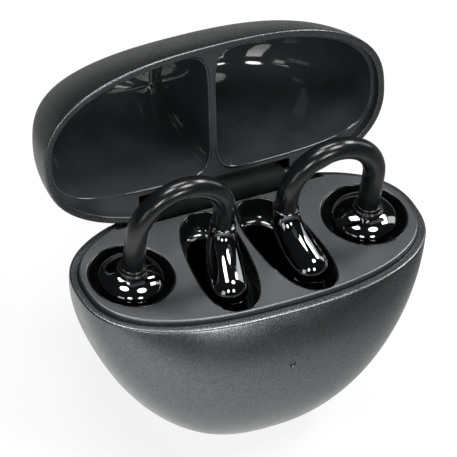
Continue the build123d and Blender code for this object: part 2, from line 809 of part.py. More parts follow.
for side_name, side in sides:
    ball_centre = Vector(side * ball_x, ball_y, rim_z + ball_rise)
    ball_plane = Plane(origin=ball_centre, x_dir=(1, 0, 0), z_dir=(0, -1, 0))
    ball_axis = Axis(ball_centre, (0, 0, 1))
    foot_x = side * ball_outer_x
    mic_point = ball_centre + Vector(side * 0.55, -3.6, 2.15)
    mic_plane = Plane(origin=mic_point, x_dir=(1, 0, 0), z_dir=(side * 0.045, -0.295, 1.0))

    with BuildPart() as ball_upper_shell:
        with BuildSketch(ball_plane):
            Ellipse(ball_radius, ball_top_height)
            Ellipse(ball_radius - ball_wall, ball_top_height - ball_wall, mode=Mode.SUBTRACT)
            Rectangle(ball_radius, ball_top_height, align=(Align.MIN, Align.MIN), mode=Mode.INTERSECT)
        revolve(axis=ball_axis)
        with BuildSketch(Plane.XY.offset(rim_z + collar_seat_rise)):
            with Locations((foot_x, 0)):
                Circle(collar_radius + 0.1)
        extrude(amount=2, mode=Mode.SUBTRACT)
        with BuildSketch(Plane.XY.offset(rim_z + ball_rise)):
            with Locations((foot_x, 0)):
                Circle(2 * bridge_wire_radius)
        extrude(amount=4, mode=Mode.SUBTRACT)
        with BuildSketch(mic_plane.offset(-1.2)):
            SlotOverall(ball_mic_slot[0], ball_mic_slot[1])
        extrude(amount=2, mode=Mode.SUBTRACT)
    ball_upper_shell.part.label = f"{side_name}_ball_upper_shell"
    export_step(ball_upper_shell.part, f"parts/{side_name}_ball_upper_shell.step")

    with BuildPart() as ball_lower_shell:
        with BuildSketch(ball_plane):
            Ellipse(ball_radius, ball_bottom_height)
            Ellipse(ball_radius - ball_wall, ball_bottom_height - ball_wall, mode=Mode.SUBTRACT)
            Rectangle(ball_radius, ball_bottom_height, align=(Align.MIN, Align.MAX), mode=Mode.INTERSECT)
        revolve(axis=ball_axis)
        with BuildSketch(Plane.XY.offset(rim_z + ball_rise - ball_bottom_height / 2)):
            with Locations((side * ball_x, ball_y)):
                Circle(grille_radius + fit_gap)
        extrude(amount=-ball_bottom_height, mode=Mode.SUBTRACT)
    ball_lower_shell.part.label = f"{side_name}_ball_lower_shell"
    export_step(ball_lower_shell.part, f"parts/{side_name}_ball_lower_shell.step")

    with BuildPart() as speaker_grille:
        with BuildSketch(Plane.XY.offset(rim_z + ball_rise - ball_bottom_height + grille_rise)):
            with Locations((side * ball_x, ball_y)):
                Circle(grille_radius)
                for ring_radius, ring_count in grille_rings:
                    with PolarLocations(ring_radius, ring_count):
                        Circle(grille_hole_radius, mode=Mode.SUBTRACT)
        extrude(amount=grille_thickness)
    speaker_grille.part.label = f"{side_name}_speaker_grille"
    export_step(speaker_grille.part, f"parts/{side_name}_speaker_grille.step")

    with BuildPart() as speaker_driver:
        with BuildSketch(Plane.XY.offset(rim_z + driver_top_rise - driver_height)):
            with Locations((side * ball_x, ball_y)):
                Circle(driver_radius)
        extrude(amount=driver_height)
        with BuildSketch(Plane.XY.offset(rim_z + driver_top_rise - driver_height)):
            with Locations((side * ball_x, ball_y)):
                Circle(driver_radius * driver_magnet_share)
        extrude(amount=-driver_magnet_height)
    speaker_driver.part.label = f"{side_name}_speaker_driver"
    export_step(speaker_driver.part, f"parts/{side_name}_speaker_driver.step")

    with BuildPart() as ball_mic_mesh:
        with BuildSketch(mic_plane.offset(-ball_mic_mesh_sink)):
            SlotOverall(ball_mic_slot[0] - 2 * fit_gap, ball_mic_slot[1] - 2 * fit_gap)
        extrude(amount=mic_mesh_thickness)
    ball_mic_mesh.part.label = f"{side_name}_ball_mic_mesh"
    export_step(ball_mic_mesh.part, f"parts/{side_name}_ball_mic_mesh.step")

    with BuildPart() as ball_collar:
        with BuildSketch(Plane.XY.offset(rim_z + collar_seat_rise + fit_gap)):
            with Locations((foot_x, 0)):
                Circle(collar_radius)
        extrude(amount=collar_step)
        fillet(ball_collar.faces().sort_by(Axis.Z)[-1].edges(), radius=collar_round)
        with BuildSketch(Plane.XY.offset(rim_z + collar_seat_rise + collar_step)):
            with Locations((foot_x, 0)):
                Circle(collar_step_radius)
        extrude(amount=collar_step)
        fillet(ball_collar.faces().sort_by(Axis.Z)[-1].edges(), radius=collar_round)
        with BuildSketch(Plane.XY.offset(rim_z + collar_seat_rise)):
            with Locations((foot_x, 0)):
                Circle(bridge_radius + fit_gap)
        extrude(amount=4 * collar_step, mode=Mode.SUBTRACT)
    ball_collar.part.label = f"{side_name}_ball_collar"
    export_step(ball_collar.part, f"parts/{side_name}_ball_collar.step")

    with BuildPart() as bridge_sleeve:
        with BuildLine(Plane.XZ) as sleeve_path:
            arc_z = rim_z + bridge_arc_rise
            Line((foot_x, rim_z + bridge_foot_rise), (foot_x, arc_z))
            ThreePointArc(
                (foot_x, arc_z),
                (side * bridge_middle_x, arc_z + bridge_arc_radius),
                (side * neck_x, arc_z),
            )
            Line((side * neck_x, arc_z), (side * neck_x, rim_z + neck_rise + fit_gap))
        with BuildSketch(Plane.XY.offset(rim_z + bridge_foot_rise)):
            with Locations((foot_x, 0)):
                Circle(bridge_radius)
                Circle(bridge_wire_radius + fit_gap, mode=Mode.SUBTRACT)
        sweep(path=sleeve_path.line)
    bridge_sleeve.part.label = f"{side_name}_bridge_sleeve"
    export_step(bridge_sleeve.part, f"parts/{side_name}_bridge_sleeve.step")

    with BuildPart() as bridge_wire:
        with BuildLine(Plane.XZ) as wire_path:
            Line((foot_x, rim_z + ball_rise + 1.2), (foot_x, arc_z))
            ThreePointArc(
                (foot_x, arc_z),
                (side * bridge_middle_x, arc_z + bridge_arc_radius),
                (side * neck_x, arc_z),
            )
            Line((side * neck_x, arc_z), (side * neck_x, rim_z + neck_rise - 1.0))
        with BuildSketch(Plane.XY.offset(rim_z + ball_rise + 1.2)):
            with Locations((foot_x, 0)):
                Circle(bridge_wire_radius)
        sweep(path=wire_path.line)
    bridge_wire.part.label = f"{side_name}_bridge_wire"
    export_step(bridge_wire.part, f"parts/{side_name}_bridge_wire.step")

    bulb_point, bulb_direction = bean_spine(1, side)
    seam = Plane(origin=bulb_point, x_dir=(1, 0, 0), z_dir=bean_seam_normal)
    with BuildPart() as bean_skin:
        loft(sections=bean_sections(side, 0, 0))
        add(loft(sections=bean_sections(side, bean_wall, 0.1), mode=Mode.PRIVATE), mode=Mode.SUBTRACT)
        with BuildSketch(Plane.XY.offset(rim_z + neck_rise + 1)):
            with Locations((side * neck_x, 0)):
                Circle(bridge_wire_radius + fit_gap)
        extrude(amount=-3.5, mode=Mode.SUBTRACT)
        with BuildSketch(Plane.XY.offset(rim_z - pin_tip_top)):
            with Locations((side * bulb_x, bulb_y)):
                with GridLocations(0, pin_spacing, 1, 2):
                    Circle(pad_well_radius)
        extrude(amount=1.6, mode=Mode.SUBTRACT)

    slot_point, slot_direction = bean_spine(0.55, side)
    slot_plane = Plane(origin=slot_point, x_dir=slot_direction, z_dir=(-side * 0.12, -0.62, 0.76))
    with BuildPart() as bean_upper_shell:
        add(bean_skin.part)
        split(bisect_by=seam, keep=Keep.TOP)
        with BuildSketch(slot_plane.offset(1.0)):
            SlotOverall(mic_slot[0], mic_slot[1])
        extrude(amount=4, mode=Mode.SUBTRACT)
    bean_upper_shell.part.label = f"{side_name}_bean_upper_shell"
    export_step(bean_upper_shell.part, f"parts/{side_name}_bean_upper_shell.step")

    with BuildPart() as bean_lower_shell:
        add(bean_skin.part)
        split(bisect_by=seam, keep=Keep.BOTTOM)
    bean_lower_shell.part.label = f"{side_name}_bean_lower_shell"
    export_step(bean_lower_shell.part, f"parts/{side_name}_bean_lower_shell.step")

    with BuildPart() as bean_mic_mesh:
        with BuildSketch(slot_plane.offset(bean_mic_mesh_rise)):
            SlotOverall(mic_slot[0] - 2 * fit_gap, mic_slot[1] - 2 * fit_gap)
        extrude(amount=mic_mesh_thickness)
    bean_mic_mesh.part.label = f"{side_name}_bean_mic_mesh"
    export_step(bean_mic_mesh.part, f"parts/{side_name}_bean_mic_mesh.step")

    cell_start = bulb_point - bulb_direction * bean_cell_radius
    with BuildPart() as bean_battery:
        with BuildSketch(Plane(origin=cell_start, x_dir=(1, 0, 0), z_dir=bulb_direction)):
            Circle(bean_cell_radius)
        extrude(amount=bean_cell_length)
    bean_battery.part.label = f"{side_name}_bean_battery"
    export_step(bean_battery.part, f"parts/{side_name}_bean_battery.step")

    board_point, board_direction = bean_spine(0.5, side)
    with BuildPart() as bean_board:
        with BuildSketch(Plane(origin=board_point, x_dir=(1, 0, 0), z_dir=board_direction)):
            Rectangle(bean_board_size[0], bean_board_size[1])
        extrude(amount=bean_board_size[2] / 2, both=True)
    bean_board.part.label = f"{side_name}_bean_board"
    export_step(bean_board.part, f"parts/{side_name}_bean_board.step")

    with BuildPart() as charge_pads:
        with BuildSketch(Plane.XY.offset(rim_z - pin_tip_top + pad_sink)):
            with Locations((side * bulb_x, bulb_y)):
                with GridLocations(0, pin_spacing, 1, 2):
                    Circle(pad_radius)
        extrude(amount=pad_thickness)
    charge_pads.part.label = f"{side_name}_charge_pads"
    export_step(charge_pads.part, f"parts/{side_name}_charge_pads.step")
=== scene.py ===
"""Looks for ear-clip headphones docked in their open charging case.

Lengths are in millimetres in the object's own frame (X along the hinge, -Y the front, +Z up) until a
mesh is made, which turns them to metres.
"""

import json

import bmesh
import bpy
import numpy as np
from mathutils import Matrix, Vector


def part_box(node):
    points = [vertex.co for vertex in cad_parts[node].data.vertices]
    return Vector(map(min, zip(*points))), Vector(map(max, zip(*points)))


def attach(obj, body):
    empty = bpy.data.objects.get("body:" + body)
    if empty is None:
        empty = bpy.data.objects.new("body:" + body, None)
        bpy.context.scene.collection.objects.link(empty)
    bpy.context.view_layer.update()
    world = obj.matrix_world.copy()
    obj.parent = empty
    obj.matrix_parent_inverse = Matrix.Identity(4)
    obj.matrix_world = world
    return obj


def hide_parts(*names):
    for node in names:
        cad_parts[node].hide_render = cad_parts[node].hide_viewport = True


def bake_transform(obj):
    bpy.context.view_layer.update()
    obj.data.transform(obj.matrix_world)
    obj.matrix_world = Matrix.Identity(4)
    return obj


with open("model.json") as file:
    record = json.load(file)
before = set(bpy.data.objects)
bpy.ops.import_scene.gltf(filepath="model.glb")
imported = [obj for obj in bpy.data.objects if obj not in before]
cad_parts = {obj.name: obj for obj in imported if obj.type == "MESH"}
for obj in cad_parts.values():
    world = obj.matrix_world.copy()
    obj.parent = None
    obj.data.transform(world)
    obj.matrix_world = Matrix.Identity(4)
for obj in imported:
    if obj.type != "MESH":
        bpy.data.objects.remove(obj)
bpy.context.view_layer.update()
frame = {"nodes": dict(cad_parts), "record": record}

MM = 0.001
record = frame["record"]
joints = {joint["name"]: joint for joint in record["behaviour"]["joints"]}
sides = (("left", -1), ("right", 1))


def box_mm(node):
    """Lowest and highest corner of a frame node, in millimetres."""
    low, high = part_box(node)
    return np.array(low) / MM, np.array(high) / MM


# ---- sizes ------------------------------------------------------------------------------------
rim_z = box_mm("case_shell")[1][2]
case_half_width = 35.0
rim_half_depth = 17.0
oval_power = 2.46
body_depth = 36.5
body_pole_depth = 38.7
bowl_equator_x, bowl_power_x = -5.5, 1.82
bowl_equator_y, bowl_power_y = 14.9, 2.07
shell_wall = 1.5
foot_wall = 1.8
foot_shares = (0, 0.3, 0.6, 0.85, 0.94, 0.975)
rim_round = 0.35
shell_edge = 0.12

deck_top = box_mm("cradle_deck")[1][2]
cup_wall = 0.6
cup_tuck = 0.12
ball_cup_radius = 8.0
ball_cup_floor = 4.45
ball_cup_round = 3.0
bean_cup_centre = (6.9, -1.7)
bean_cup_half_width = 5.9
bean_cup_half_length = 13.0
bean_cup_power = 2.5
bean_cup_lean = 0.11
bean_cup_floor = 4.2
bean_cup_round = 1.8
pin_hole = (1.2, 1.2)

lid_pole_height = 28.4
lid_top_share = 0.985
lid_equator_x, lid_power_x = -7.4, 2.5
lid_power_y = 1.5
lid_wall = 1.0
lid_band = 1.35
lid_band_round = 0.15
lid_gap = 0.3
liner_recess = 1.5
recess_wall_total = 2.0
recess_web = 0.8
recess_back = 10.4
recess_corner_power = 7
recess_top = 24.6
recess_skin = 0.45
recess_wall_start = 2.6
recess_top_round = 1.8
recess_top_narrowing = 0.14
recess_lip = (
    (0.50, 1.66), (0.50, 1.52), (0.38, 1.44), (0.22, 1.44), (0.10, 1.50), (0.02, 1.64), (0.0, 1.9)
)

hinge_y = joints["lid_hinge"]["pos_m"][1] / MM
hinge_z = joints["lid_hinge"]["pos_m"][2] / MM
lid_swing = np.radians(joints["lid_hinge"]["range_deg"][0])
barrel_notch_radius = 2.6
barrel_half_length = 13.6
trough_half_length = barrel_half_length + 2.2
trough_radius = 2.9
notch_half_length = trough_half_length - 0.2
rear_relief_radius = 2.3
rear_relief_half_length = 21.5
swing_clearance = 0.35

usb_drop = 13.0
usb_slot = (9.34, 3.66)
lens_drop = 9.7
lens_hole = 0.6

ball_x, ball_y, ball_rise = 24.0, 0.4, 0.5
ball_radius = 6.35
ball_top_height = 2.7
ball_bottom_height = 4.6
ball_wall = 0.8
ball_mic_slot = (3.1, 0.85)
ball_mic_place = (0.55, -3.6, 2.15)
ball_mic_lean = (0.045, -0.295)
grille_opening = 2.25
bridge_radius = 2.1
bridge_arc_radius = 8.9
bridge_arc_rise = 12.0
bridge_middle_x = 15.4
neck_x = bridge_middle_x - bridge_arc_radius
foot_line_x = bridge_middle_x + bridge_arc_radius
bridge_fit = 0.03
collar_seat_rise = 2.8
collar_radius = 2.9
collar_step_radius = 2.5
collar_step = 0.85
neck_rise = 9.3
neck_radius = 2.5
neck_lip = 0.22
bulb_radius = 3.65
bulb_x, bulb_y, bulb_rise = 8.3, -8.1, 0.7
bean_bend = (6.5, 0.0, 4.0)
bean_mic_slot = (2.1, 0.9)
bean_mic_share = 0.55
bean_mic_lean = (-0.12, -0.62, 0.76)
pin_spacing = 3.0
pad_well = 0.9
pad_drop = 2.75


# ---- mesh makers ------------------------------------------------------------------------------
def surface(name, points, rows_close=False):
    """A closed mesh over a grid of points: columns run round and meet, rows run from pole to pole,
    or round to the first row again.  Equal points are one point, so a row of one point is a pole."""
    rows, columns = points.shape[:2]
    number = np.arange(rows * columns).reshape(rows, columns)
    upper = number if rows_close else number[:-1]
    lower = np.roll(number, -1, axis=0) if rows_close else number[1:]
    faces = np.stack([upper, lower, np.roll(lower, -1, axis=1), np.roll(upper, -1, axis=1)], axis=-1)
    faces = faces.reshape(-1, 4)
    mesh = bpy.data.meshes.new(name)
    mesh.vertices.add(rows * columns)
    mesh.vertices.foreach_set("co", (points * MM).astype(np.float32).ravel())
    mesh.loops.add(faces.size)
    mesh.loops.foreach_set("vertex_index", faces.ravel().astype(np.int32))
    mesh.polygons.add(len(faces))
    mesh.polygons.foreach_set("loop_start", np.arange(0, faces.size, 4, dtype=np.int32))
    mesh.update(calc_edges=True)
    work = bmesh.new()
    work.from_mesh(mesh)
    bmesh.ops.remove_doubles(work, verts=work.verts, dist=2e-7)
    bmesh.ops.recalc_face_normals(work, faces=work.faces)
    work.to_mesh(mesh)
    work.free()
    mesh.polygons.foreach_set("use_smooth", np.ones(len(mesh.polygons), dtype=bool))
    piece = bpy.data.objects.new(name, mesh)
    bpy.context.collection.objects.link(piece)
    return piece


def cut(piece, cutters, sharp=40):
    """Takes the cutters' solids out of a piece and keeps edges over the sharp angle crisp."""
    for cutter in cutters:
        step = piece.modifiers.new(cutter.name, "BOOLEAN")
        step.operation = "DIFFERENCE"
        step.solver = "EXACT"
        step.object = cutter
    ready = piece.evaluated_get(bpy.context.evaluated_depsgraph_get())
    whole = piece.data
    piece.data = bpy.data.meshes.new_from_object(ready)
    piece.data.name = piece.name
    piece.modifiers.clear()
    bpy.data.meshes.remove(whole)
    for cutter in cutters:
        bpy.data.objects.remove(cutter)
    piece.data.polygons.foreach_set("use_smooth", np.ones(len(piece.data.polygons), dtype=bool))
    piece.data.set_sharp_from_angle(angle=np.radians(sharp))
    return piece


def finish_piece(piece, body, finish, replaced=()):
    """Gives a piece its finish, the body it moves with and the frame nodes it stands for."""
    piece.data.materials.clear()
    piece.data.materials.append(finish)
    if body:
        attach(piece, body)
    if replaced:
        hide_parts(*replaced)
    return piece


def rounded(corners, radii, closed=False, steps=6):
    """A profile through the corners with each one turned in a small curve that starts and ends
    its radius away: a quadratic curve whose middle control point is the corner."""
    corners = np.array(corners, float)
    share = np.linspace(0, 1, steps)[:, None]
    profile = []
    last = len(corners) - 1
    for place, (corner, radius) in enumerate(zip(corners, radii)):
        if radius == 0 or (not closed and place in (0, last)):
            profile.append(corner[None, :])
            continue
        before = corners[place - 1] - corner
        after = corners[(place + 1) % len(corners)] - corner
        start = corner + before / np.linalg.norm(before) * min(radius, np.linalg.norm(before) / 2)
        end = corner + after / np.linalg.norm(after) * min(radius, np.linalg.norm(after) / 2)
        profile.append(start * (1 - share) ** 2 + corner * (2 * share * (1 - share)) + end * share**2)
    return np.concatenate(profile)


def lathe(profile, centre, columns=256):
    """Profile of (radius, height) turned about the upright line through centre."""
    angle = np.linspace(0, 2 * np.pi, columns, endpoint=False)
    radius, height = profile[:, :1], profile[:, 1:]
    x = centre[0] + radius * np.cos(angle)
    y = centre[1] + radius * np.sin(angle)
    z = centre[2] + height + 0 * angle
    return np.stack([x, y, z], axis=-1)


def across(normal, along=(1.0, 0.0, 0.0)):
    """Three directions: near along, across both, and the normal, each at right angles."""
    normal = np.array(normal, float) / np.linalg.norm(normal)
    first = np.array(along, float) - normal * np.dot(along, normal)
    first /= np.linalg.norm(first)
    return first, np.cross(normal, first), normal


def pill_plug(name, middle, normal, along, size, levels, columns=48):
    """A plug of pill-shaped section: half circles joined by straights, at each (height, growth)."""
    first, second, normal = across(normal, along)
    angle = np.linspace(0, 2 * np.pi, columns, endpoint=False) + np.pi / columns
    straight = (size[0] - size[1]) / 2 * np.sign(np.cos(angle))
    rows = [np.zeros((columns, 3)) + np.array(middle) + normal * levels[0][0]]
    for height, growth in levels:
        radius = size[1] / 2 + growth
        u = straight + radius * np.cos(angle)
        v = radius * np.sin(angle)
        rows.append(np.array(middle) + normal * height + u[:, None] * first + v[:, None] * second)
    rows.append(np.zeros((columns, 3)) + np.array(middle) + normal * levels[-1][0])
    return surface(name, np.stack(rows))


# ---- outlines ---------------------------------------------------------------------------------
def oval(angle, power):
    """Unit superellipse: |x| and |y| to the power add up to one."""
    x = np.sign(np.cos(angle)) * np.abs(np.cos(angle)) ** (2 / power)
    y = np.sign(np.sin(angle)) * np.abs(np.sin(angle)) ** (2 / power)
    return x, y


def even_angles(half_x, half_y, power, columns):
    """Angles at even steps of length along a superellipse."""
    fine = np.linspace(0, 2 * np.pi, 40001)
    x, y = oval(fine, power)
    run = np.concatenate([[0], np.cumsum(np.hypot(np.diff(x * half_x), np.diff(y * half_y)))])
    return np.interp(np.linspace(0, run[-1], columns + 1)[:-1], run, fine)


def swell(depth, pole, equator, power):
    """Relative width at a depth: one at the equator, falling to nothing at the pole."""
    reach = np.clip(np.abs(depth - equator) / (pole - equator), 0, 1)
    return (1 - reach**power) ** (1 / power)


def bowl_half_sizes(depth, inset):
    """Half width and half depth of the lower half at a depth below the rim."""
    pole = body_pole_depth - inset
    wide = swell(depth, pole, bowl_equator_x, bowl_power_x) / swell(0, pole, bowl_equator_x, bowl_power_x)
    deep = swell(depth, pole, bowl_equator_y, bowl_power_y) / swell(0, pole, bowl_equator_y, bowl_power_y)
    return (case_half_width - inset) * wide, (rim_half_depth - inset) * deep


def lid_half_sizes(height, inset):
    """Half width and half depth of the lid's dome at a height above its rim."""
    pole = (lid_pole_height - inset) * lid_top_share
    wide = swell(height, pole, lid_equator_x, lid_power_x) / swell(0, pole, lid_equator_x, lid_power_x)
    deep = swell(height, pole, 0, lid_power_y)
    return (case_half_width - inset) * wide, (rim_half_depth - inset) * deep


def from_lid(points):
    """Points in the closed lid's frame (height above its rim as z) swung to the open lid."""
    cosine, sine = np.cos(lid_swing), np.sin(lid_swing)
    y = points[..., 1] - hinge_y
    z = points[..., 2] + rim_z + lid_gap - hinge_z
    turned_y = hinge_y + y * cosine - z * sine
    turned_z = hinge_z + y * sine + z * cosine
    return np.stack([points[..., 0], turned_y, turned_z], axis=-1)


def oval_rows(sizes, heights, columns=480):
    """Rows of the case's oval, one for each (half width, half depth) and height."""
    angle = even_angles(case_half_width, rim_half_depth, oval_power, columns)
    x, y = oval(angle, oval_power)
    half_x, half_y = np.array(sizes[0])[:, None], np.array(sizes[1])[:, None]
    z = np.array(heights)[:, None] + 0 * angle
    return np.stack([half_x * x, half_y * y, z], axis=-1)


# ---- finishes ---------------------------------------------------------------------------------
def hexed(code, alpha=1.0):
    """sRGB hex colour as linear light."""
    part = np.array([int(code[i : i + 2], 16) for i in (1, 3, 5)]) / 255
    linear = np.where(part <= 0.04045, part / 12.92, ((part + 0.055) / 1.055) ** 2.4)
    return (*linear.tolist(), alpha)


def add(tree, kind, inputs=None, **settings):
    """One node with its settings; inputs are sockets to link from or values to set."""
    made = tree.nodes.new(kind)
    for key, value in settings.items():
        setattr(made, key, value)
    for key, value in (inputs or {}).items():
        if isinstance(value, bpy.types.NodeSocket):
            tree.links.new(value, made.inputs[key])
        else:
            made.inputs[key].default_value = value
    return made


def start_finish(name, **values):
    """An empty finish: its tree, its shader with the values set, and the place on the object."""
    finish = bpy.data.materials.new(name)
    finish.use_nodes = True
    tree = finish.node_tree
    tree.nodes.clear()
    shader = add(tree, "ShaderNodeBsdfPrincipled", {k.replace("_", " "): v for k, v in values.items()})
    add(tree, "ShaderNodeOutputMaterial", {"Surface": shader.outputs["BSDF"]})
    place = add(tree, "ShaderNodeTexCoord").outputs["Object"]
    return finish, tree, shader, place


def per_mm(size):
    """Texture scale that makes one cell of a pattern the size in millimetres."""
    return 1 / (size * MM)


def spread(tree, value, low, high, start=0.0, end=1.0):
    """A 0 to 1 pattern spread between two values."""
    return add(
        tree,
        "ShaderNodeMapRange",
        {"Value": value, "From Min": start, "From Max": end, "To Min": low, "To Max": high},
    ).outputs["Result"]


def blend_colours(tree, share, first, second):
    """Colour between two, by a 0 to 1 share."""
    mixed = add(tree, "ShaderNodeMix", {0: share, 6: hexed(first), 7: hexed(second)}, data_type="RGBA")
    return mixed.outputs[2]


def flake_lacquer(name, dark, light, flake, rough, sparkle):
    """Satin lacquer with metal flakes sprayed on moulded polycarbonate: each flake leans its own
    way and is a little lighter or darker, so the paint glitters finely; slow waves are spray."""
    finish, tree, shader, place = start_finish(
        name, Metallic=0.88, Coat_Weight=0.12, Coat_Roughness=0.3, Coat_IOR=1.5
    )
    flakes = add(
        tree, "ShaderNodeTexVoronoi", {"Vector": place, "Scale": per_mm(flake)}, voronoi_dimensions="3D"
    )
    grey = add(tree, "ShaderNodeSeparateColor", {"Color": flakes.outputs["Color"]})
    spray = add(
        tree, "ShaderNodeTexNoise", {"Vector": place, "Scale": per_mm(9.0), "Detail": 3.0}
    ).outputs["Fac"]
    tree.links.new(blend_colours(tree, grey.outputs["Red"], dark, light), shader.inputs["Base Color"])
    cloud = spread(tree, spray, rough - 0.04, rough + 0.05, 0.3, 0.7)
    scatter = spread(tree, grey.outputs["Green"], -0.05, 0.05)
    both = add(tree, "ShaderNodeMath", {0: cloud, 1: scatter}, operation="ADD")
    tree.links.new(both.outputs["Value"], shader.inputs["Roughness"])
    lean = add(
        tree,
        "ShaderNodeBump",
        {"Height": grey.outputs["Blue"], "Strength": sparkle, "Distance": flake * MM * 0.25},
    )
    tree.links.new(lean.outputs["Normal"], shader.inputs["Normal"])
    return finish


def grained_plastic(name, dark, light, grain, rough, depth, **values):
    """Moulded plastic or rubber from a spark-eroded mould: an even fine grain, colour and gloss
    drifting a little over a few millimetres."""
    finish, tree, shader, place = start_finish(name, **values)
    grit = add(
        tree, "ShaderNodeTexNoise", {"Vector": place, "Scale": per_mm(grain), "Detail": 4.0, "Roughness": 0.6}
    ).outputs["Fac"]
    drift = add(
        tree, "ShaderNodeTexNoise", {"Vector": place, "Scale": per_mm(7.0), "Detail": 2.0}
    ).outputs["Fac"]
    tree.links.new(
        blend_colours(tree, spread(tree, drift, 0, 1, 0.3, 0.7), dark, light), shader.inputs["Base Color"]
    )
    tree.links.new(spread(tree, grit, rough - 0.05, rough + 0.06, 0.3, 0.7), shader.inputs["Roughness"])
    relief = add(tree, "ShaderNodeBump", {"Height": grit, "Strength": depth, "Distance": grain * MM * 0.3})
    tree.links.new(relief.outputs["Normal"], shader.inputs["Normal"])
    return finish


def mirror_finish(name, dark, light, rough, wave, **values):
    """A polished or plated skin: mirror gloss that wavers over a few millimetres, as moulded
    skins do, with wipe marks that only change the gloss."""
    finish, tree, shader, place = start_finish(name, **values)
    ripple = add(
        tree, "ShaderNodeTexNoise", {"Vector": place, "Scale": per_mm(5.0), "Detail": 1.0}
    ).outputs["Fac"]
    stretched = add(tree, "ShaderNodeMapping", {"Vector": place, "Scale": (1.0, 7.0, 3.0)})
    wipes = add(
        tree,
        "ShaderNodeTexNoise",
        {"Vector": stretched.outputs["Vector"], "Scale": per_mm(4.0), "Detail": 5.0},
    ).outputs["Fac"]
    tree.links.new(
        blend_colours(tree, spread(tree, ripple, 0, 1, 0.3, 0.7), dark, light), shader.inputs["Base Color"]
    )
    tree.links.new(spread(tree, wipes, rough, rough + 0.035, 0.42, 0.75), shader.inputs["Roughness"])
    relief = add(tree, "ShaderNodeBump", {"Height": ripple, "Strength": wave, "Distance": 0.02 * MM})
    tree.links.new(relief.outputs["Normal"], shader.inputs["Normal"])
    return finish


def woven_mesh(name, wire, gap, thread):
    """Fine woven wire cloth: two sets of round wires a thread apart, dark between them."""
    finish, tree, shader, place = start_finish(name, Metallic=0.9, Roughness=0.35)
    waves = []
    for direction in ("X", "Y"):
        wave = add(
            tree,
            "ShaderNodeTexWave",
            {"Vector": place, "Scale": per_mm(thread) / 6.2832 * 2},
            bands_direction=direction,
        )
        waves.append(wave.outputs["Fac"])
    top = add(tree, "ShaderNodeMath", {0: waves[0], 1: waves[1]}, operation="MAXIMUM").outputs["Value"]
    tree.links.new(blend_colours(tree, top, gap, wire), shader.inputs["Base Color"])
    relief = add(tree, "ShaderNodeBump", {"Height": top, "Strength": 0.8, "Distance": thread * MM * 0.3})
    tree.links.new(relief.outputs["Normal"], shader.inputs["Normal"])
    return finish


def plated_metal(name, dark, light, rough, grain=0.4):
    """Plated or drawn metal: faint drawing lines along one way change gloss and tone."""
    finish, tree, shader, place = start_finish(name, Metallic=1.0)
    stretched = add(tree, "ShaderNodeMapping", {"Vector": place, "Scale": (1.0, 1.0, 0.08)})
    lines = add(
        tree,
        "ShaderNodeTexNoise",
        {"Vector": stretched.outputs["Vector"], "Scale": per_mm(grain), "Detail": 3.0},
    ).outputs["Fac"]
    tree.links.new(blend_colours(tree, lines, dark, light), shader.inputs["Base Color"])
    tree.links.new(spread(tree, lines, rough, rough + 0.15, 0.3, 0.7), shader.inputs["Roughness"])
    return finish


# flakes are drawn 0.13 mm across in the paint, coarser than real ones, so that they show
case_paint = flake_lacquer("sprayed_flake_lacquer", "#4b4d4e", "#696b6c", 0.13, 0.27, 0.12)
deck_finish = flake_lacquer("fine_satin_lacquer", "#56585a", "#636567", 0.1, 0.36, 0.06)
piano_black = mirror_finish(
    "polished_black_abs", "#0d0e0f", "#141516", 0.07, 0.25, IOR=1.53, Coat_Weight=0.3, Coat_Roughness=0.03
)
recess_gloss = mirror_finish(
    "polished_graphite_abs", "#2b2d2e", "#323435", 0.06, 0.3, IOR=1.5, Coat_Weight=0.4, Coat_Roughness=0.04
)
black_chrome = mirror_finish(
    "black_chrome_plate", "#606164", "#6c6d70", 0.035, 0.12, Metallic=1.0, Coat_Weight=0.6,
    Coat_Roughness=0.02,
)
silicone = grained_plastic(
    "moulded_silicone_rubber", "#0c0d0e", "#121314", 0.22, 0.22, 0.03, IOR=1.42, Coat_Weight=0.1,
    Coat_Roughness=0.1,
)
collar_plastic = grained_plastic("moulded_gloss_nylon", "#0e0e10", "#151517", 0.3, 0.16, 0.05, IOR=1.5)
# partly painted shade: black acetal's own colour, made near-black with its reflections turned far down
# (Specular_IOR_Level 0.12) so that the hinge reads as standing in shadow
black_acetal_painted_shade = grained_plastic(
    "moulded_black_acetal_painted_shade", "#0d0e0e", "#131414", 0.2, 0.6, 0.1, IOR=1.4, Specular_IOR_Level=0.12
)
mesh_cloth = woven_mesh("woven_acoustic_mesh", "#37383a", "#050505", 0.16)
bright_steel = plated_metal("nickel_plated_steel", "#a9aaac", "#c9cacc", 0.2)
spring_steel = plated_metal("drawn_spring_steel", "#7d7e80", "#a5a6a8", 0.25)
gold_plate = plated_metal("hard_gold_plate", "#c79a3f", "#e0b95c", 0.18)
board_green = grained_plastic("solder_masked_laminate", "#0c2a1b", "#12351f", 0.5, 0.35, 0.2, IOR=1.5)
cell_wrap = grained_plastic("laminated_cell_foil", "#8b8f94", "#a2a6aa", 0.8, 0.3, 0.3, Metallic=0.8)
magnet_coat = plated_metal("nickel_coated_magnet", "#8f9092", "#b4b5b7", 0.22)
smoked_lens = mirror_finish("smoked_clear_polycarbonate", "#060606", "#0a0a0a", 0.08, 0.1, IOR=1.58)

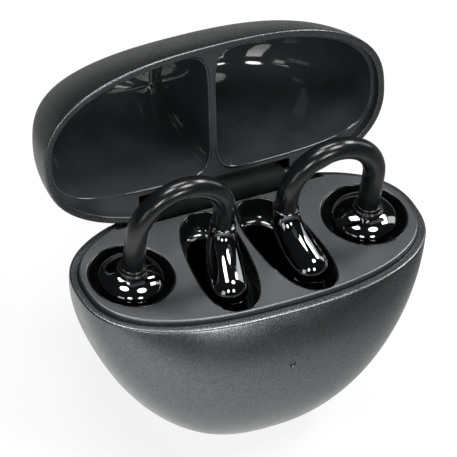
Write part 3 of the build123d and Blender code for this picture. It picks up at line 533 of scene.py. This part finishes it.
node_finishes = {
    "cradle_deck": deck_finish,
    "cradle_tray": piano_black,
    "hinge_bracket": bright_steel,
    "hinge_pin": bright_steel,
    "hinge_spring": spring_steel,
    "bracket_screws": bright_steel,
    "latch_magnet": magnet_coat,
    "dock_magnets": magnet_coat,
    "lid_magnet": magnet_coat,
    "usb_socket": bright_steel,
    "usb_tongue": black_acetal_painted_shade,
    "main_board": board_green,
    "case_battery": cell_wrap,
    "indicator_lens": smoked_lens,
    "lid_liner": deck_finish,
    "lid_hinge_block": black_acetal_painted_shade,
}
for side_name, side in sides:
    node_finishes[f"{side_name}_pin_block"] = black_acetal_painted_shade
    node_finishes[f"{side_name}_speaker_grille"] = mesh_cloth
    node_finishes[f"{side_name}_speaker_driver"] = bright_steel
    node_finishes[f"{side_name}_ball_mic_mesh"] = mesh_cloth
    node_finishes[f"{side_name}_bean_mic_mesh"] = mesh_cloth
    node_finishes[f"{side_name}_bean_battery"] = cell_wrap
    node_finishes[f"{side_name}_bean_board"] = board_green
    node_finishes[f"{side_name}_charge_pads"] = gold_plate
    for row_name in ("front", "rear"):
        node_finishes[f"{side_name}_{row_name}_pin"] = gold_plate
        node_finishes[f"{side_name}_{row_name}_pin_spring"] = spring_steel

for node_name, finish in node_finishes.items():
    for slot in frame["nodes"][node_name].material_slots:
        slot.material = finish


# ---- case -------------------------------------------------------------------------------------
def bowl_rows(shares, depths, insets):
    """Ovals of the lower half: each has a share of the bowl's size at its depth and inset."""
    half_x, half_y = bowl_half_sizes(depths, insets)
    return oval_rows((half_x * shares, half_y * shares), rim_z - depths)


def case_shell_points():
    """Outer bowl from the foot's middle to the rim, over the rounded rim, down the inner wall."""
    turn = np.linspace(0, np.pi / 2, 9)
    foot = np.array(foot_shares)
    wall = (body_depth - shell_edge) * np.sin(np.linspace(np.pi / 2, 0, 90))
    wall = wall[wall > rim_round + 0.1]
    lip = rim_round * (1 - np.sin(turn))
    lip_in = rim_round * (1 - np.cos(turn))
    inner_lip = shell_wall - shell_edge * (1 - np.sin(turn))
    inner_down = shell_edge * (1 - np.cos(turn))
    inner = np.linspace(0.4, body_depth - foot_wall, 24)
    shares = np.concatenate([foot, np.ones(len(wall) + 2 * len(turn) + len(inner)), [0.6, 0.0]])
    depths = np.concatenate([foot * 0 + body_depth, wall, lip, inner_down, inner, inner[-1:], inner[-1:]])
    insets = np.concatenate(
        [foot * 0, wall * 0, lip_in, inner_lip, inner * 0 + shell_wall, [shell_wall, shell_wall]]
    )
    return bowl_rows(shares, depths, insets)


def rod(name, half_length, centre_y, centre_z, radius, columns=96):
    """A plain round bar along X for cutting: two flat ends and a wall."""
    angle = np.linspace(0, 2 * np.pi, columns, endpoint=False)
    along = np.array([-1, -1, 1, 1])[:, None] * half_length
    reach = np.array([0, 1, 1, 0])[:, None] * radius
    x = along + 0 * angle
    y, z = centre_y + reach * np.cos(angle), centre_z + reach * np.sin(angle)
    return surface(name, np.stack([x, y, z], -1))


def lid_envelope():
    """The open lid grown by its swing clearance, closed at its rim: what the case keeps clear."""
    top = (lid_pole_height + swing_clearance) * lid_top_share
    height = np.concatenate([[0], top * np.sin(np.linspace(0, np.pi / 2, 40))])
    half_x, half_y = lid_half_sizes(height, -swing_clearance)
    half_x[0] = half_y[0] = 0
    return surface("lid_envelope", from_lid(oval_rows((half_x, half_y), height, 240)))


case_shell = surface("case_shell_skin", case_shell_points())
usb_wall = bowl_half_sizes(usb_drop, 0)[1]
lens_wall = -bowl_half_sizes(lens_drop, 0)[1]
cut(
    case_shell,
    [
        lid_envelope(),
        rod("hinge_trough", trough_half_length, hinge_y, hinge_z, trough_radius),
        rod("rear_relief", rear_relief_half_length, hinge_y, hinge_z, rear_relief_radius),
        pill_plug(
            "usb_opening", (0, usb_wall, rim_z - usb_drop), (0, 1, 0), (1, 0, 0), usb_slot,
            [(-6, 0), (-0.25, 0), (0.05, 0.22), (1.0, 0.8)], 64,
        ),
        pill_plug(
            "lens_opening", (0, lens_wall, rim_z - lens_drop), (0, -1, 0), (1, 0, 0),
            (2 * lens_hole, 2 * lens_hole), [(-3, 0), (-0.1, 0), (0.05, 0.1), (0.5, 0.4)], 40,
        ),
    ],
)
finish_piece(case_shell, "case", case_paint, ["case_shell"])


# ---- cups -------------------------------------------------------------------------------------
def cup_profile(floor, corner):
    """Growth from the cup's outline (negative is inwards) and height from the rim, from the inside
    of the floor up the wall, over a small proud lip and down behind it to the floor's underside."""
    top = deck_top - rim_z
    inside = [(-corner, -floor), (-cup_tuck, -floor), (-cup_tuck, top + 0.05), (0.22, top + 0.05)]
    behind = [(0.22, top - 0.12), (-0.02, top - 0.2), (-0.02, -0.4), (cup_wall, -0.6)]
    under = [(cup_wall, -floor - cup_wall), (-corner, -floor - cup_wall)]
    radii = [0, corner, 0.16, 0.06, 0.03, 0.05, 0.05, 0.1, corner, 0]
    return rounded(inside + behind + under, radii, steps=10)


def ball_cup_points(side):
    """The cup's profile turned about the cup's middle, closed across both floors."""
    profile = cup_profile(ball_cup_floor, ball_cup_round)
    profile[:, 0] += ball_cup_radius
    ends = np.array([[0, profile[0, 1]], [0, profile[-1, 1]]])
    profile = np.concatenate([ends[:1], profile, ends[1:]])
    return lathe(profile, (side * ball_x, ball_y, rim_z), 320)


def bean_cup_points(side, columns=360):
    """The cup's profile carried round a leaning long oval, closed across both floors."""
    profile = cup_profile(bean_cup_floor, bean_cup_round)
    inner = np.linspace(0, 0.98, 8)[:, None]
    middle = profile[[0, -1], 0] + bean_cup_half_width
    angle = even_angles(bean_cup_half_width, bean_cup_half_length, bean_cup_power, columns)
    x, y = oval(angle, bean_cup_power)
    growth = np.concatenate([0 * inner + profile[0, 0], profile[:, :1], 0 * inner + profile[-1, 0]])
    share = np.concatenate([inner, np.ones((len(profile), 1)), inner[::-1]])
    height = np.concatenate([0 * inner + profile[0, 1], profile[:, 1:], 0 * inner + profile[-1, 1]])
    wide = share * (bean_cup_half_width + growth) * x
    deep = share * (bean_cup_half_length + growth) * y
    return np.stack(
        [
            side * (bean_cup_centre[0] + wide - bean_cup_lean * deep),
            bean_cup_centre[1] + deep,
            rim_z + height + 0 * x,
        ],
        axis=-1,
    )


for side_name, side in sides:
    ball_cup = surface(f"{side_name}_ball_cup", ball_cup_points(side))
    bean_cup = surface(f"{side_name}_bean_cup", bean_cup_points(side))
    drills = []
    for row in (-1, 1):
        place = (side * bulb_x, bulb_y + row * pin_spacing / 2, rim_z - bean_cup_floor)
        drills.append(
            pill_plug(
                f"pin_hole{row}", place, (0, 0, 1), (1, 0, 0), pin_hole,
                [(-2, 0), (-0.06, 0), (0.06, 0.12)], 32,
            )
        )
    cut(bean_cup, drills)
    for cup in (ball_cup, bean_cup):
        finish_piece(cup, "case", piano_black)


# ---- lid --------------------------------------------------------------------------------------
def lid_shell_points():
    """Dome from the top down to the rim, round the rim's band, up behind it to the dome's inside."""
    turn = np.linspace(0, np.pi / 2, 9)
    top = lid_pole_height * lid_top_share
    outer = top * np.sin(np.linspace(np.pi / 2, 0, 80))
    outer = outer[outer > rim_round + 0.1]
    lip = rim_round * (1 - np.sin(turn))
    lip_in = rim_round * (1 - np.cos(turn))
    band_in = lid_band - lid_band_round * (1 - np.sin(turn))
    band_up = lid_band_round * (1 - np.cos(turn))
    behind = np.array([0.8, liner_recess + 0.9])
    inner_top = (lid_pole_height - lid_wall) * lid_top_share
    inner = inner_top * np.sin(np.linspace(0.12, np.pi / 2, 30))
    heights = np.concatenate([outer, lip, band_up, behind, inner])
    insets = np.concatenate([outer * 0, lip_in, band_in, behind * 0 + lid_band, inner * 0 + lid_wall])
    half_x, half_y = lid_half_sizes(heights, insets)
    return from_lid(oval_rows((half_x, half_y), heights))


def lid_block(name, half_x, low_y, high_y, low_z, high_z):
    """A plain block in the lid's frame for cutting: a four-column tube with closed ends."""
    x = np.array([[-1, 1, 1, -1]]) * half_x
    y = np.array([[low_y, low_y, high_y, high_y]])
    middle = np.array([0, 1, 1, 0])[:, None]
    height = np.array([low_z, low_z, high_z, high_z])[:, None]
    y_middle = (low_y + high_y) / 2
    points = np.stack([middle * x, y_middle + middle * (y - y_middle), height + 0 * x], axis=-1)
    return surface(name, from_lid(points))


lid_shell = surface("lid_shell_skin", lid_shell_points())
hinge_line_height = hinge_z - rim_z - lid_gap
cut(
    lid_shell,
    [
        rod("barrel_notch", notch_half_length, hinge_y, hinge_z, barrel_notch_radius),
        lid_block(
            "rear_notch", notch_half_length, hinge_y - barrel_notch_radius, 30, -1, hinge_line_height
        ),
    ],
)
finish_piece(lid_shell, "lid", case_paint, ["lid_shell"])


def recess_outline(height, columns=360):
    """Middle and reach along each ray of one lid recess at a height: the distances to the dome's
    section, the web and the back wall, each one at its wall, joined as a high-power mean."""
    half_x, half_y = lid_half_sizes(height, recess_wall_total)
    shrink = half_y / lid_half_sizes(0.0, recess_wall_total)[1]
    back = recess_back * shrink**0.8
    middle_x, middle_y = 0.5 * half_x, -0.12 * half_y
    angle = np.linspace(0, 2 * np.pi, columns, endpoint=False)
    near, far = np.zeros(columns), np.full(columns, float(half_x))
    for _ in range(40):
        reach = (near + far) / 2
        x = middle_x + reach * np.cos(angle)
        y = middle_y + reach * np.sin(angle)
        dome = ((np.abs(x) / half_x) ** oval_power + (np.abs(y) / half_y) ** oval_power) ** (1 / oval_power)
        web = np.maximum((middle_x - x) / (middle_x - recess_web), 0)
        rear = np.maximum((y - middle_y) / (back - middle_y), 0)
        inside = dome**recess_corner_power + web**recess_corner_power + rear**recess_corner_power < 1
        near, far = np.where(inside, reach, near), np.where(inside, far, reach)
    return np.array([middle_x, middle_y]), np.stack([near * np.cos(angle), near * np.sin(angle)], axis=-1)


def recess_points(side):
    """The recess's wall from a small lip at the liner up to its rounded top, then the same wall
    a little larger and higher for its back."""
    turn = np.linspace(0, np.pi / 2, 12)
    wall = np.linspace(recess_wall_start, recess_top - recess_top_round, 30)
    rows = []

    def add_row(level, height, growth, share):
        middle, ray = recess_outline(level)
        length = np.linalg.norm(ray, axis=1, keepdims=True)
        ray = ray * share * (1 + growth / length)
        flat = middle + ray
        rows.append(np.stack([side * flat[:, 0], flat[:, 1], np.full(len(flat), height)], axis=-1))

    for growth, height in recess_lip:
        add_row(height, height, growth, 1)
    for height in wall:
        add_row(height, height, 0, 1)
    for angle in turn[1:]:
        height = wall[-1] + (recess_top - wall[-1]) * np.sin(angle)
        add_row(height, height, 0, 1 - recess_top_narrowing * (1 - np.cos(angle)))
    for share in (0.7, 0.5, 0.25, 0.0):
        add_row(recess_top, recess_top, 0, share)
    for share in (0.0, 0.5, 0.86):
        add_row(recess_top, recess_top + 0.4, 0, share)
    for height in wall[::-3]:
        add_row(height, height + 0.35 * (height - recess_wall_start) / 20, recess_skin, 1)
    add_row(2.0, 2.0, 0.50, 1)
    return from_lid(np.stack(rows))


for side_name, side in sides:
    recess = surface(f"{side_name}_recess_skin", recess_points(side), rows_close=True)
    finish_piece(recess, "lid", recess_gloss, [f"{side_name}_lid_recess"])


# ---- ear-clip buds ----------------------------------------------------------------------------
def spine(share, side):
    """Point and direction on the bean's middle line: a quadratic curve from neck to bulb."""
    share = np.asarray(share, float)[..., None]
    neck = np.array([side * neck_x, 0, neck_rise])
    bend = np.array([side * bean_bend[0], bean_bend[1], bean_bend[2]])
    bulb = np.array([side * bulb_x, bulb_y, bulb_rise])
    point = neck * (1 - share) ** 2 + bend * (2 * share * (1 - share)) + bulb * share**2
    way = (bend - neck) * (1 - share) + (bulb - bend) * share
    way = way / np.linalg.norm(way, axis=-1, keepdims=True)
    return point + np.array([0, 0, rim_z]), way


def bean_points(side, columns=300):
    """Circles along the spine that widen from neck to bulb, a rounded lip at the neck's flat top
    and a half ball at the bulb's end."""
    turn = np.linspace(0, np.pi / 2, 8)
    share = np.concatenate([np.zeros(9), np.linspace(0.05, 1, 70), np.ones(30)])
    ball_turn = np.linspace(0, np.pi / 2, 31)[1:]
    grow = share**2 * (3 - 2 * share)
    radius = neck_radius + (bulb_radius - neck_radius) * grow
    shift = np.zeros(len(share))
    radius[:9] = np.concatenate([[0.0], neck_radius - neck_lip + neck_lip * np.sin(turn)])
    shift[:9] = np.concatenate([[0.0], neck_lip * (1 - np.cos(turn))])
    radius[-30:] = bulb_radius * np.cos(ball_turn)
    shift[-30:] = bulb_radius * np.sin(ball_turn)
    point, way = spine(share, side)
    first = np.array([1.0, 0, 0]) - way * way[:, :1]
    first /= np.linalg.norm(first, axis=1, keepdims=True)
    second = np.cross(way, first)
    angle = np.linspace(0, 2 * np.pi, columns, endpoint=False)
    ring = first[:, None] * np.cos(angle)[:, None] + second[:, None] * np.sin(angle)[:, None]
    return (point + way * shift[:, None])[:, None] + radius[:, None, None] * ring


def ball_half_profile(height, end_radius, sign):
    """Half of an ellipse from its middle line (or the opening at its bottom) out to the seam, with a
    softly rounded seam edge, and back inside, smaller by the wall."""
    start = np.arccos(end_radius / ball_radius)
    outer = np.linspace(start, 0.02, 90)
    inner = np.linspace(0.02, np.arccos(end_radius / (ball_radius - ball_wall)), 30)
    out = np.stack([ball_radius * np.cos(outer), sign * height * np.sin(outer)], axis=1)
    seam = np.array([[ball_radius - 0.02, sign * 0.03], [ball_radius - 0.1, sign * 0.015]])
    back = np.stack(
        [(ball_radius - ball_wall) * np.cos(inner), sign * (height - ball_wall) * np.sin(inner)], axis=1
    )
    return np.concatenate([out, seam, back])


def tube_path(foot_x, neck_line_x, steps=96):
    """Middle line of the bridge: up from the collar, half round, and down to the neck."""
    arc_z = rim_z + bridge_arc_rise
    middle = (foot_x + neck_line_x) / 2
    sign = np.sign(foot_x)
    turn = np.linspace(0, np.pi, steps)
    up = np.linspace(rim_z + collar_seat_rise, arc_z, 24)[:-1]
    down = np.linspace(arc_z, rim_z + neck_rise - 0.1, 14)[1:]
    arc_x = middle + sign * bridge_arc_radius * np.cos(turn)
    x = np.concatenate([0 * up + foot_x, arc_x, 0 * down + neck_line_x])
    z = np.concatenate([up, arc_z + bridge_arc_radius * np.sin(turn), down])
    way_x = np.concatenate([0 * up, -sign * np.sin(turn), 0 * down])
    way_z = np.concatenate([0 * up + 1, np.cos(turn), 0 * down - 1])
    return np.stack([x, 0 * x, z], 1), np.stack([way_x, 0 * x, way_z], 1)


def tube_points(foot_x, neck_line_x, columns=72):
    """A round tube carried along its path, closed at both ends."""
    point, way = tube_path(foot_x, neck_line_x)
    point = np.concatenate([point[:1], point, point[-1:]])
    way = np.concatenate([way[:1], way, way[-1:]])
    radius = np.full(len(point), bridge_radius)
    radius[[0, -1]] = 0
    second = np.array([0.0, 1.0, 0.0])
    first = np.cross(second, way)
    angle = np.linspace(0, 2 * np.pi, columns, endpoint=False)
    ring = first[:, None] * np.cos(angle)[:, None] + second * np.sin(angle)[:, None]
    return point[:, None] + radius[:, None, None] * ring


flare = [(-1.4, 0), (-0.1, 0), (0.08, 0.1), (0.8, 0.5)]

for side_name, side in sides:
    ball_body, bean_body = f"{side_name}_ball", f"{side_name}_bean"
    ball_middle = (side * ball_x, ball_y, rim_z + ball_rise)
    cap = surface(
        f"{side_name}_ball_cap", lathe(ball_half_profile(ball_top_height, 0.0, 1), ball_middle, 400)
    )
    mic_normal = (side * ball_mic_lean[0], ball_mic_lean[1], 1.0)
    mic_middle = np.array(ball_middle) + np.array([side * ball_mic_place[0], *ball_mic_place[1:]])
    cut(
        cap,
        [pill_plug("mic_hole", mic_middle, mic_normal, (1, 0, 0), ball_mic_slot, flare)],
    )
    finish_piece(cap, ball_body, black_chrome, [f"{side_name}_ball_upper_shell"])
    base = surface(
        f"{side_name}_ball_base",
        lathe(ball_half_profile(ball_bottom_height, grille_opening, -1), ball_middle, 300),
        rows_close=True,
    )
    finish_piece(base, ball_body, black_chrome, [f"{side_name}_ball_lower_shell"])

    collar_profile = rounded(
        [
            (bridge_radius + bridge_fit, 0), (collar_radius, 0), (collar_radius, collar_step),
            (collar_step_radius + 0.08, collar_step), (collar_step_radius, collar_step + 0.1),
            (collar_step_radius, 2 * collar_step), (bridge_radius + bridge_fit, 2 * collar_step),
        ],
        [0, 0.1, 0.32, 0.08, 0.08, 0.3, 0.02],
        closed=True,
    )
    collar = surface(
        f"{side_name}_collar",
        lathe(collar_profile, (side * foot_line_x, 0, rim_z + collar_seat_rise), 160),
        rows_close=True,
    )
    finish_piece(collar, ball_body, collar_plastic, [f"{side_name}_ball_collar"])

    tube = surface(f"{side_name}_bridge_tube", tube_points(side * foot_line_x, side * neck_x))
    finish_piece(
        tube, None, silicone, [f"{side_name}_bridge_sleeve", f"{side_name}_bridge_wire"]
    )
    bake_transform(tube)

    bean = surface(f"{side_name}_bean_shell", bean_points(side))
    slot_point, slot_way = spine(bean_mic_share, side)
    slot_normal = np.array([side * bean_mic_lean[0], *bean_mic_lean[1:]])
    slot_up = across(slot_normal, slot_way)[2]
    slot_radius = neck_radius + (bulb_radius - neck_radius) * bean_mic_share**2 * (3 - 2 * bean_mic_share)
    wells = [
        pill_plug("mic_hole", slot_point + slot_up * slot_radius, slot_normal, slot_way, bean_mic_slot,
                  [(-0.8, 0), (-0.12, 0), (0.1, 0.12), (0.8, 0.5)])
    ]
    for row in (-1, 1):
        place = (side * bulb_x, bulb_y + row * pin_spacing / 2, rim_z - pad_drop)
        wells.append(
            pill_plug(
                f"pad_well{row}", place, (0, 0, -1), (1, 0, 0), (2 * pad_well, 2 * pad_well),
                [(-0.3, 0), (0.0, 0), (1.0, 0.2)], 40,
            )
        )
    cut(bean, wells)
    finish_piece(
        bean, bean_body, black_chrome,
        [f"{side_name}_bean_upper_shell", f"{side_name}_bean_lower_shell"],
    )


# ---- studio -----------------------------------------------------------------------------------
floor_half = 4000
seen_glow = 0.86
# painted pool of light: the floor glows brightest round this spot at the object's front left, fading to
# far_glow
pool_centre = (-55, -45, 0)
pool_start, pool_end = 10, 150
pool_glow, far_glow = 1.3, 0.04
light_distance = 900


def plain_floor():
    """Pale matte floor that runs far past the object and glows.  Straight to the lens it glows near
    white, as a lit sweep looks; towards the object it glows as a painted pool of light at its front
    left and very little from farther off, so that dark gloss stays dark."""
    corners = [(x * floor_half, y * floor_half, 0) for x, y in ((-1, -1), (1, -1), (1, 1), (-1, 1))]
    mesh = bpy.data.meshes.new("floor")
    mesh.from_pydata([Vector(corner) * MM for corner in corners], [], [(0, 1, 2, 3)])
    floor = bpy.data.objects.new("floor", mesh)
    bpy.context.collection.objects.link(floor)
    finish, tree, shader, place = start_finish(
        "floor_paper_painted_glow", Roughness=0.9, Specular_IOR_Level=0.0, Emission_Color=hexed("#ffffff")
    )
    tone = add(tree, "ShaderNodeTexNoise", {"Vector": place, "Scale": per_mm(60.0)}).outputs["Fac"]
    tree.links.new(blend_colours(tree, tone, "#5c5c5c", "#606060"), shader.inputs["Base Color"])
    pool = [value * MM for value in pool_centre]
    # painted pool of light: for rays other than the camera's, the floor's glow is set by the distance from
    # the pool's centre
    away = add(tree, "ShaderNodeVectorMath", {0: place, 1: pool}, operation="DISTANCE").outputs["Value"]
    painted_light_pool = spread(tree, away, pool_glow, far_glow, pool_start * MM, pool_end * MM)
    direct = add(tree, "ShaderNodeLightPath").outputs["Is Camera Ray"]
    glow = add(tree, "ShaderNodeMix", {0: direct, 2: painted_light_pool, 3: seen_glow}).outputs[0]
    tree.links.new(glow, shader.inputs["Emission Strength"])
    mesh.materials.append(finish)


def softbox(name, way, size, brightness, shape):
    """A soft light seen from the object in direction way, facing it; brightness is the same all
    over its face whatever its size."""
    data = bpy.data.lights.new(name, "AREA")
    data.shape = shape
    data.size, data.size_y = size[0] * MM, size[1] * MM
    filled = 1 if shape == "RECTANGLE" else np.pi / 4
    data.energy = brightness * 4 * data.size * data.size_y * filled
    lamp = bpy.data.objects.new(name, data)
    bpy.context.collection.objects.link(lamp)
    way = Vector(way).normalized()
    spot = Vector((0, 0, rim_z)) + way * light_distance
    lamp.matrix_world = Matrix.Translation(spot * MM) @ way.to_track_quat("Z", "Y").to_matrix().to_4x4()


def studio_air(low, high, strength):
    """Soft dim surroundings, lighter overhead."""
    world = bpy.data.worlds.new("studio_air")
    bpy.context.scene.world = world
    world.use_nodes = True
    tree = world.node_tree
    tree.nodes.clear()
    height = add(tree, "ShaderNodeSeparateXYZ", {0: add(tree, "ShaderNodeTexCoord").outputs["Generated"]})
    rise = spread(tree, height.outputs["Z"], 0.0, 1.0, -0.1, 0.9)
    sky = add(
        tree, "ShaderNodeBackground", {"Color": blend_colours(tree, rise, low, high), "Strength": strength}
    )
    add(tree, "ShaderNodeOutputWorld", {"Surface": sky.outputs["Background"]})


plain_floor()
studio_air("#5a5a5c", "#77797b", 0.22)
softboxes = (
    ("strip_overhead_back", (0.08, 0.37, 0.93), (390, 150), 15, "RECTANGLE"),
    ("box_overhead_right", (0.68, 0.12, 0.72), (330, 210), 15, "RECTANGLE"),
    ("round_overhead_left", (-0.24, -0.02, 0.97), (270, 270), 15, "DISK"),
    ("round_overhead_front", (0.28, -0.30, 0.91), (300, 300), 15, "DISK"),
    ("round_front_left", (-0.42, -0.80, 0.42), (200, 260), 14, "ELLIPSE"),
    ("round_front", (0.10, -0.90, 0.42), (200, 260), 14, "ELLIPSE"),
    ("panel_left", (-0.80, -0.60, 0.10), (300, 420), 2, "RECTANGLE"),
    ("panel_right", (0.93, 0.10, 0.36), (260, 520), 2, "RECTANGLE"),
)
for light_name, way, size, brightness, shape in softboxes:
    softbox(light_name, way, size, brightness, shape)

view_azimuth, view_elevation, view_roll = np.radians(-31.9), np.radians(43.62), np.radians(8.57)
view_distance = 1422.0
view_shift = (-3.33, 3.46)
back = Vector(
    (
        np.sin(view_azimuth) * np.cos(view_elevation),
        -np.cos(view_azimuth) * np.cos(view_elevation),
        np.sin(view_elevation),
    )
)
level_right = Vector((np.cos(view_azimuth), np.sin(view_azimuth), 0))
level_up = back.cross(level_right)
right = level_right * np.cos(view_roll) + level_up * np.sin(view_roll)
up = level_up * np.cos(view_roll) - level_right * np.sin(view_roll)
look_at = Vector((0, 0.97, rim_z)) + right * view_shift[0] + up * view_shift[1]
camera_data = bpy.data.cameras.new("studio_camera")
camera_data.lens = 607.9
camera_data.sensor_width = 36
camera_data.clip_start, camera_data.clip_end = 0.05, 20
camera = bpy.data.objects.new("studio_camera", camera_data)
bpy.context.collection.objects.link(camera)
spot = (look_at + back * view_distance) * MM
camera.matrix_world = Matrix.Translation(spot) @ Matrix((right, up, back)).transposed().to_4x4()
bpy.context.scene.camera = camera
bpy.context.scene.view_settings.view_transform = "Standard"
